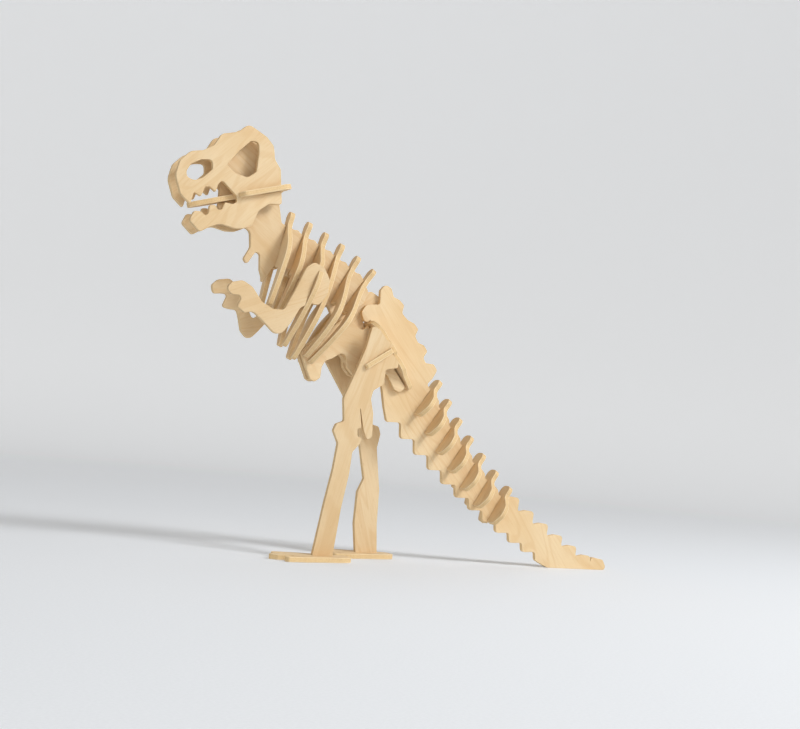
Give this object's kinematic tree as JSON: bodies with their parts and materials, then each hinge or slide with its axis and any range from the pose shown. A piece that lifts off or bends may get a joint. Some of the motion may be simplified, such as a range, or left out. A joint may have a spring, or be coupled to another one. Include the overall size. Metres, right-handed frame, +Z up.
{
  "type": "wooden 3d dinosaur skeleton puzzle",
  "caption": "Standing two-legged dinosaur skeleton made of flat plywood plates that press together with slots; ribs, arms and tail vertebrae lift off.",
  "frame": {"origin": "middle of the footprint box, on the floor", "axes": "+Z up, -X towards the head, +X towards the tail tip, -Y is the dinosaur's left side"},
  "size_m": [0.3086, 0.0568, 0.2399],
  "materials": {
    "plywood_side": "raw sanded plywood",
    "plywood_cross": "raw sanded plywood"
  },
  "bodies": {
    "skeleton": {"body_plate": "plywood_side", "tail_plate": "plywood_side", "skull_left": "plywood_side", "skull_right": "plywood_side", "palate_plate": "plywood_cross", "pelvis_wing": "plywood_cross", "pelvis_left": "plywood_side", "pelvis_right": "plywood_side", "hip_crossbar": "plywood_cross", "leg_left": "plywood_side", "leg_right": "plywood_side", "foot_left": "plywood_cross", "foot_right": "plywood_cross"},
    "rib_1": {"rib_1": "plywood_cross"},
    "rib_2": {"rib_2": "plywood_cross"},
    "rib_3": {"rib_3": "plywood_cross"},
    "rib_4": {"rib_4": "plywood_cross"},
    "rib_5": {"rib_5": "plywood_cross"},
    "rib_6": {"rib_6": "plywood_cross"},
    "arm_left": {"arm_left": "plywood_side"},
    "arm_right": {"arm_right": "plywood_side"},
    "tail_vertebra_1": {"tail_vertebra_1": "plywood_cross"},
    "tail_vertebra_2": {"tail_vertebra_2": "plywood_cross"},
    "tail_vertebra_3": {"tail_vertebra_3": "plywood_cross"},
    "tail_vertebra_4": {"tail_vertebra_4": "plywood_cross"},
    "tail_vertebra_5": {"tail_vertebra_5": "plywood_cross"},
    "tail_vertebra_6": {"tail_vertebra_6": "plywood_cross"},
    "tail_vertebra_7": {"tail_vertebra_7": "plywood_cross"}
  },
  "joints": [
    {"name": "rib_1_lift", "type": "slide", "parent": "skeleton", "child": "rib_1", "axis": [0.1994, 0, 0.9799], "range_m": [0, 0.03]},
    {"name": "rib_2_lift", "type": "slide", "parent": "skeleton", "child": "rib_2", "axis": [0.2756, 0, 0.9613], "range_m": [0, 0.03]},
    {"name": "rib_3_lift", "type": "slide", "parent": "skeleton", "child": "rib_3", "axis": [0.2924, 0, 0.9563], "range_m": [0, 0.03]},
    {"name": "rib_4_lift", "type": "slide", "parent": "skeleton", "child": "rib_4", "axis": [0.342, 0, 0.9397], "range_m": [0, 0.03]},
    {"name": "rib_5_lift", "type": "slide", "parent": "skeleton", "child": "rib_5", "axis": [0.4384, 0, 0.8988], "range_m": [0, 0.03]},
    {"name": "rib_6_lift", "type": "slide", "parent": "skeleton", "child": "rib_6", "axis": [0.5446, 0, 0.8387], "range_m": [0, 0.03]},
    {"name": "arm_left_lift", "type": "slide", "parent": "rib_3", "child": "arm_left", "axis": [0.2924, 0, 0.9563], "range_m": [0, 0.025]},
    {"name": "arm_right_lift", "type": "slide", "parent": "rib_3", "child": "arm_right", "axis": [0.2924, 0, 0.9563], "range_m": [0, 0.025]},
    {"name": "tail_vertebra_1_lift", "type": "slide", "parent": "skeleton", "child": "tail_vertebra_1", "axis": [0.5664, 0, 0.8241], "range_m": [0, 0.02]},
    {"name": "tail_vertebra_2_lift", "type": "slide", "parent": "skeleton", "child": "tail_vertebra_2", "axis": [0.5577, 0, 0.83], "range_m": [0, 0.02]},
    {"name": "tail_vertebra_3_lift", "type": "slide", "parent": "skeleton", "child": "tail_vertebra_3", "axis": [0.549, 0, 0.8358], "range_m": [0, 0.02]},
    {"name": "tail_vertebra_4_lift", "type": "slide", "parent": "skeleton", "child": "tail_vertebra_4", "axis": [0.5402, 0, 0.8415], "range_m": [0, 0.02]},
    {"name": "tail_vertebra_5_lift", "type": "slide", "parent": "skeleton", "child": "tail_vertebra_5", "axis": [0.5314, 0, 0.8471], "range_m": [0, 0.02]},
    {"name": "tail_vertebra_6_lift", "type": "slide", "parent": "skeleton", "child": "tail_vertebra_6", "axis": [0.5225, 0, 0.8526], "range_m": [0, 0.02]},
    {"name": "tail_vertebra_7_lift", "type": "slide", "parent": "skeleton", "child": "tail_vertebra_7", "axis": [0.5135, 0, 0.8581], "range_m": [0, 0.02]}
  ]
}
